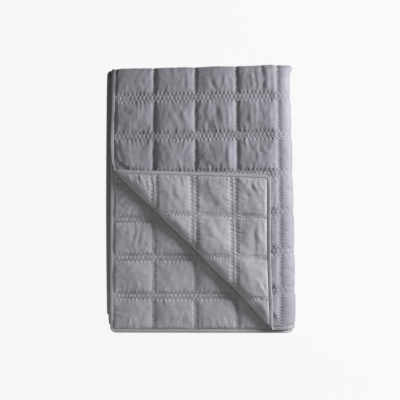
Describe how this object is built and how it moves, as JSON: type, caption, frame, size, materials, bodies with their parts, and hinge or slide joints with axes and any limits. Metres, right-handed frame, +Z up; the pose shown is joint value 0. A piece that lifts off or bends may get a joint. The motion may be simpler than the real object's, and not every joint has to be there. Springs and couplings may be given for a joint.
{
  "type": "quilted bedspread",
  "caption": "Padded bedspread quilted in squares with a bound edge, folded into a flat packet with a loose corner turned back.",
  "frame": {"origin": "middle of the packet's underside, on the surface it rests on", "axes": "+Z up, +Y along the packet towards its folded end, +X across it towards its folded side"},
  "size_m": [0.4524, 0.645, 0.0938],
  "materials": {
    "quilted_cloth": "matt woven cotton",
    "binding_cloth": "matt woven cotton"
  },
  "bodies": {
    "root": {"quilted_panel": "quilted_cloth", "edge_binding": "binding_cloth"}
  },
  "joints": []
}
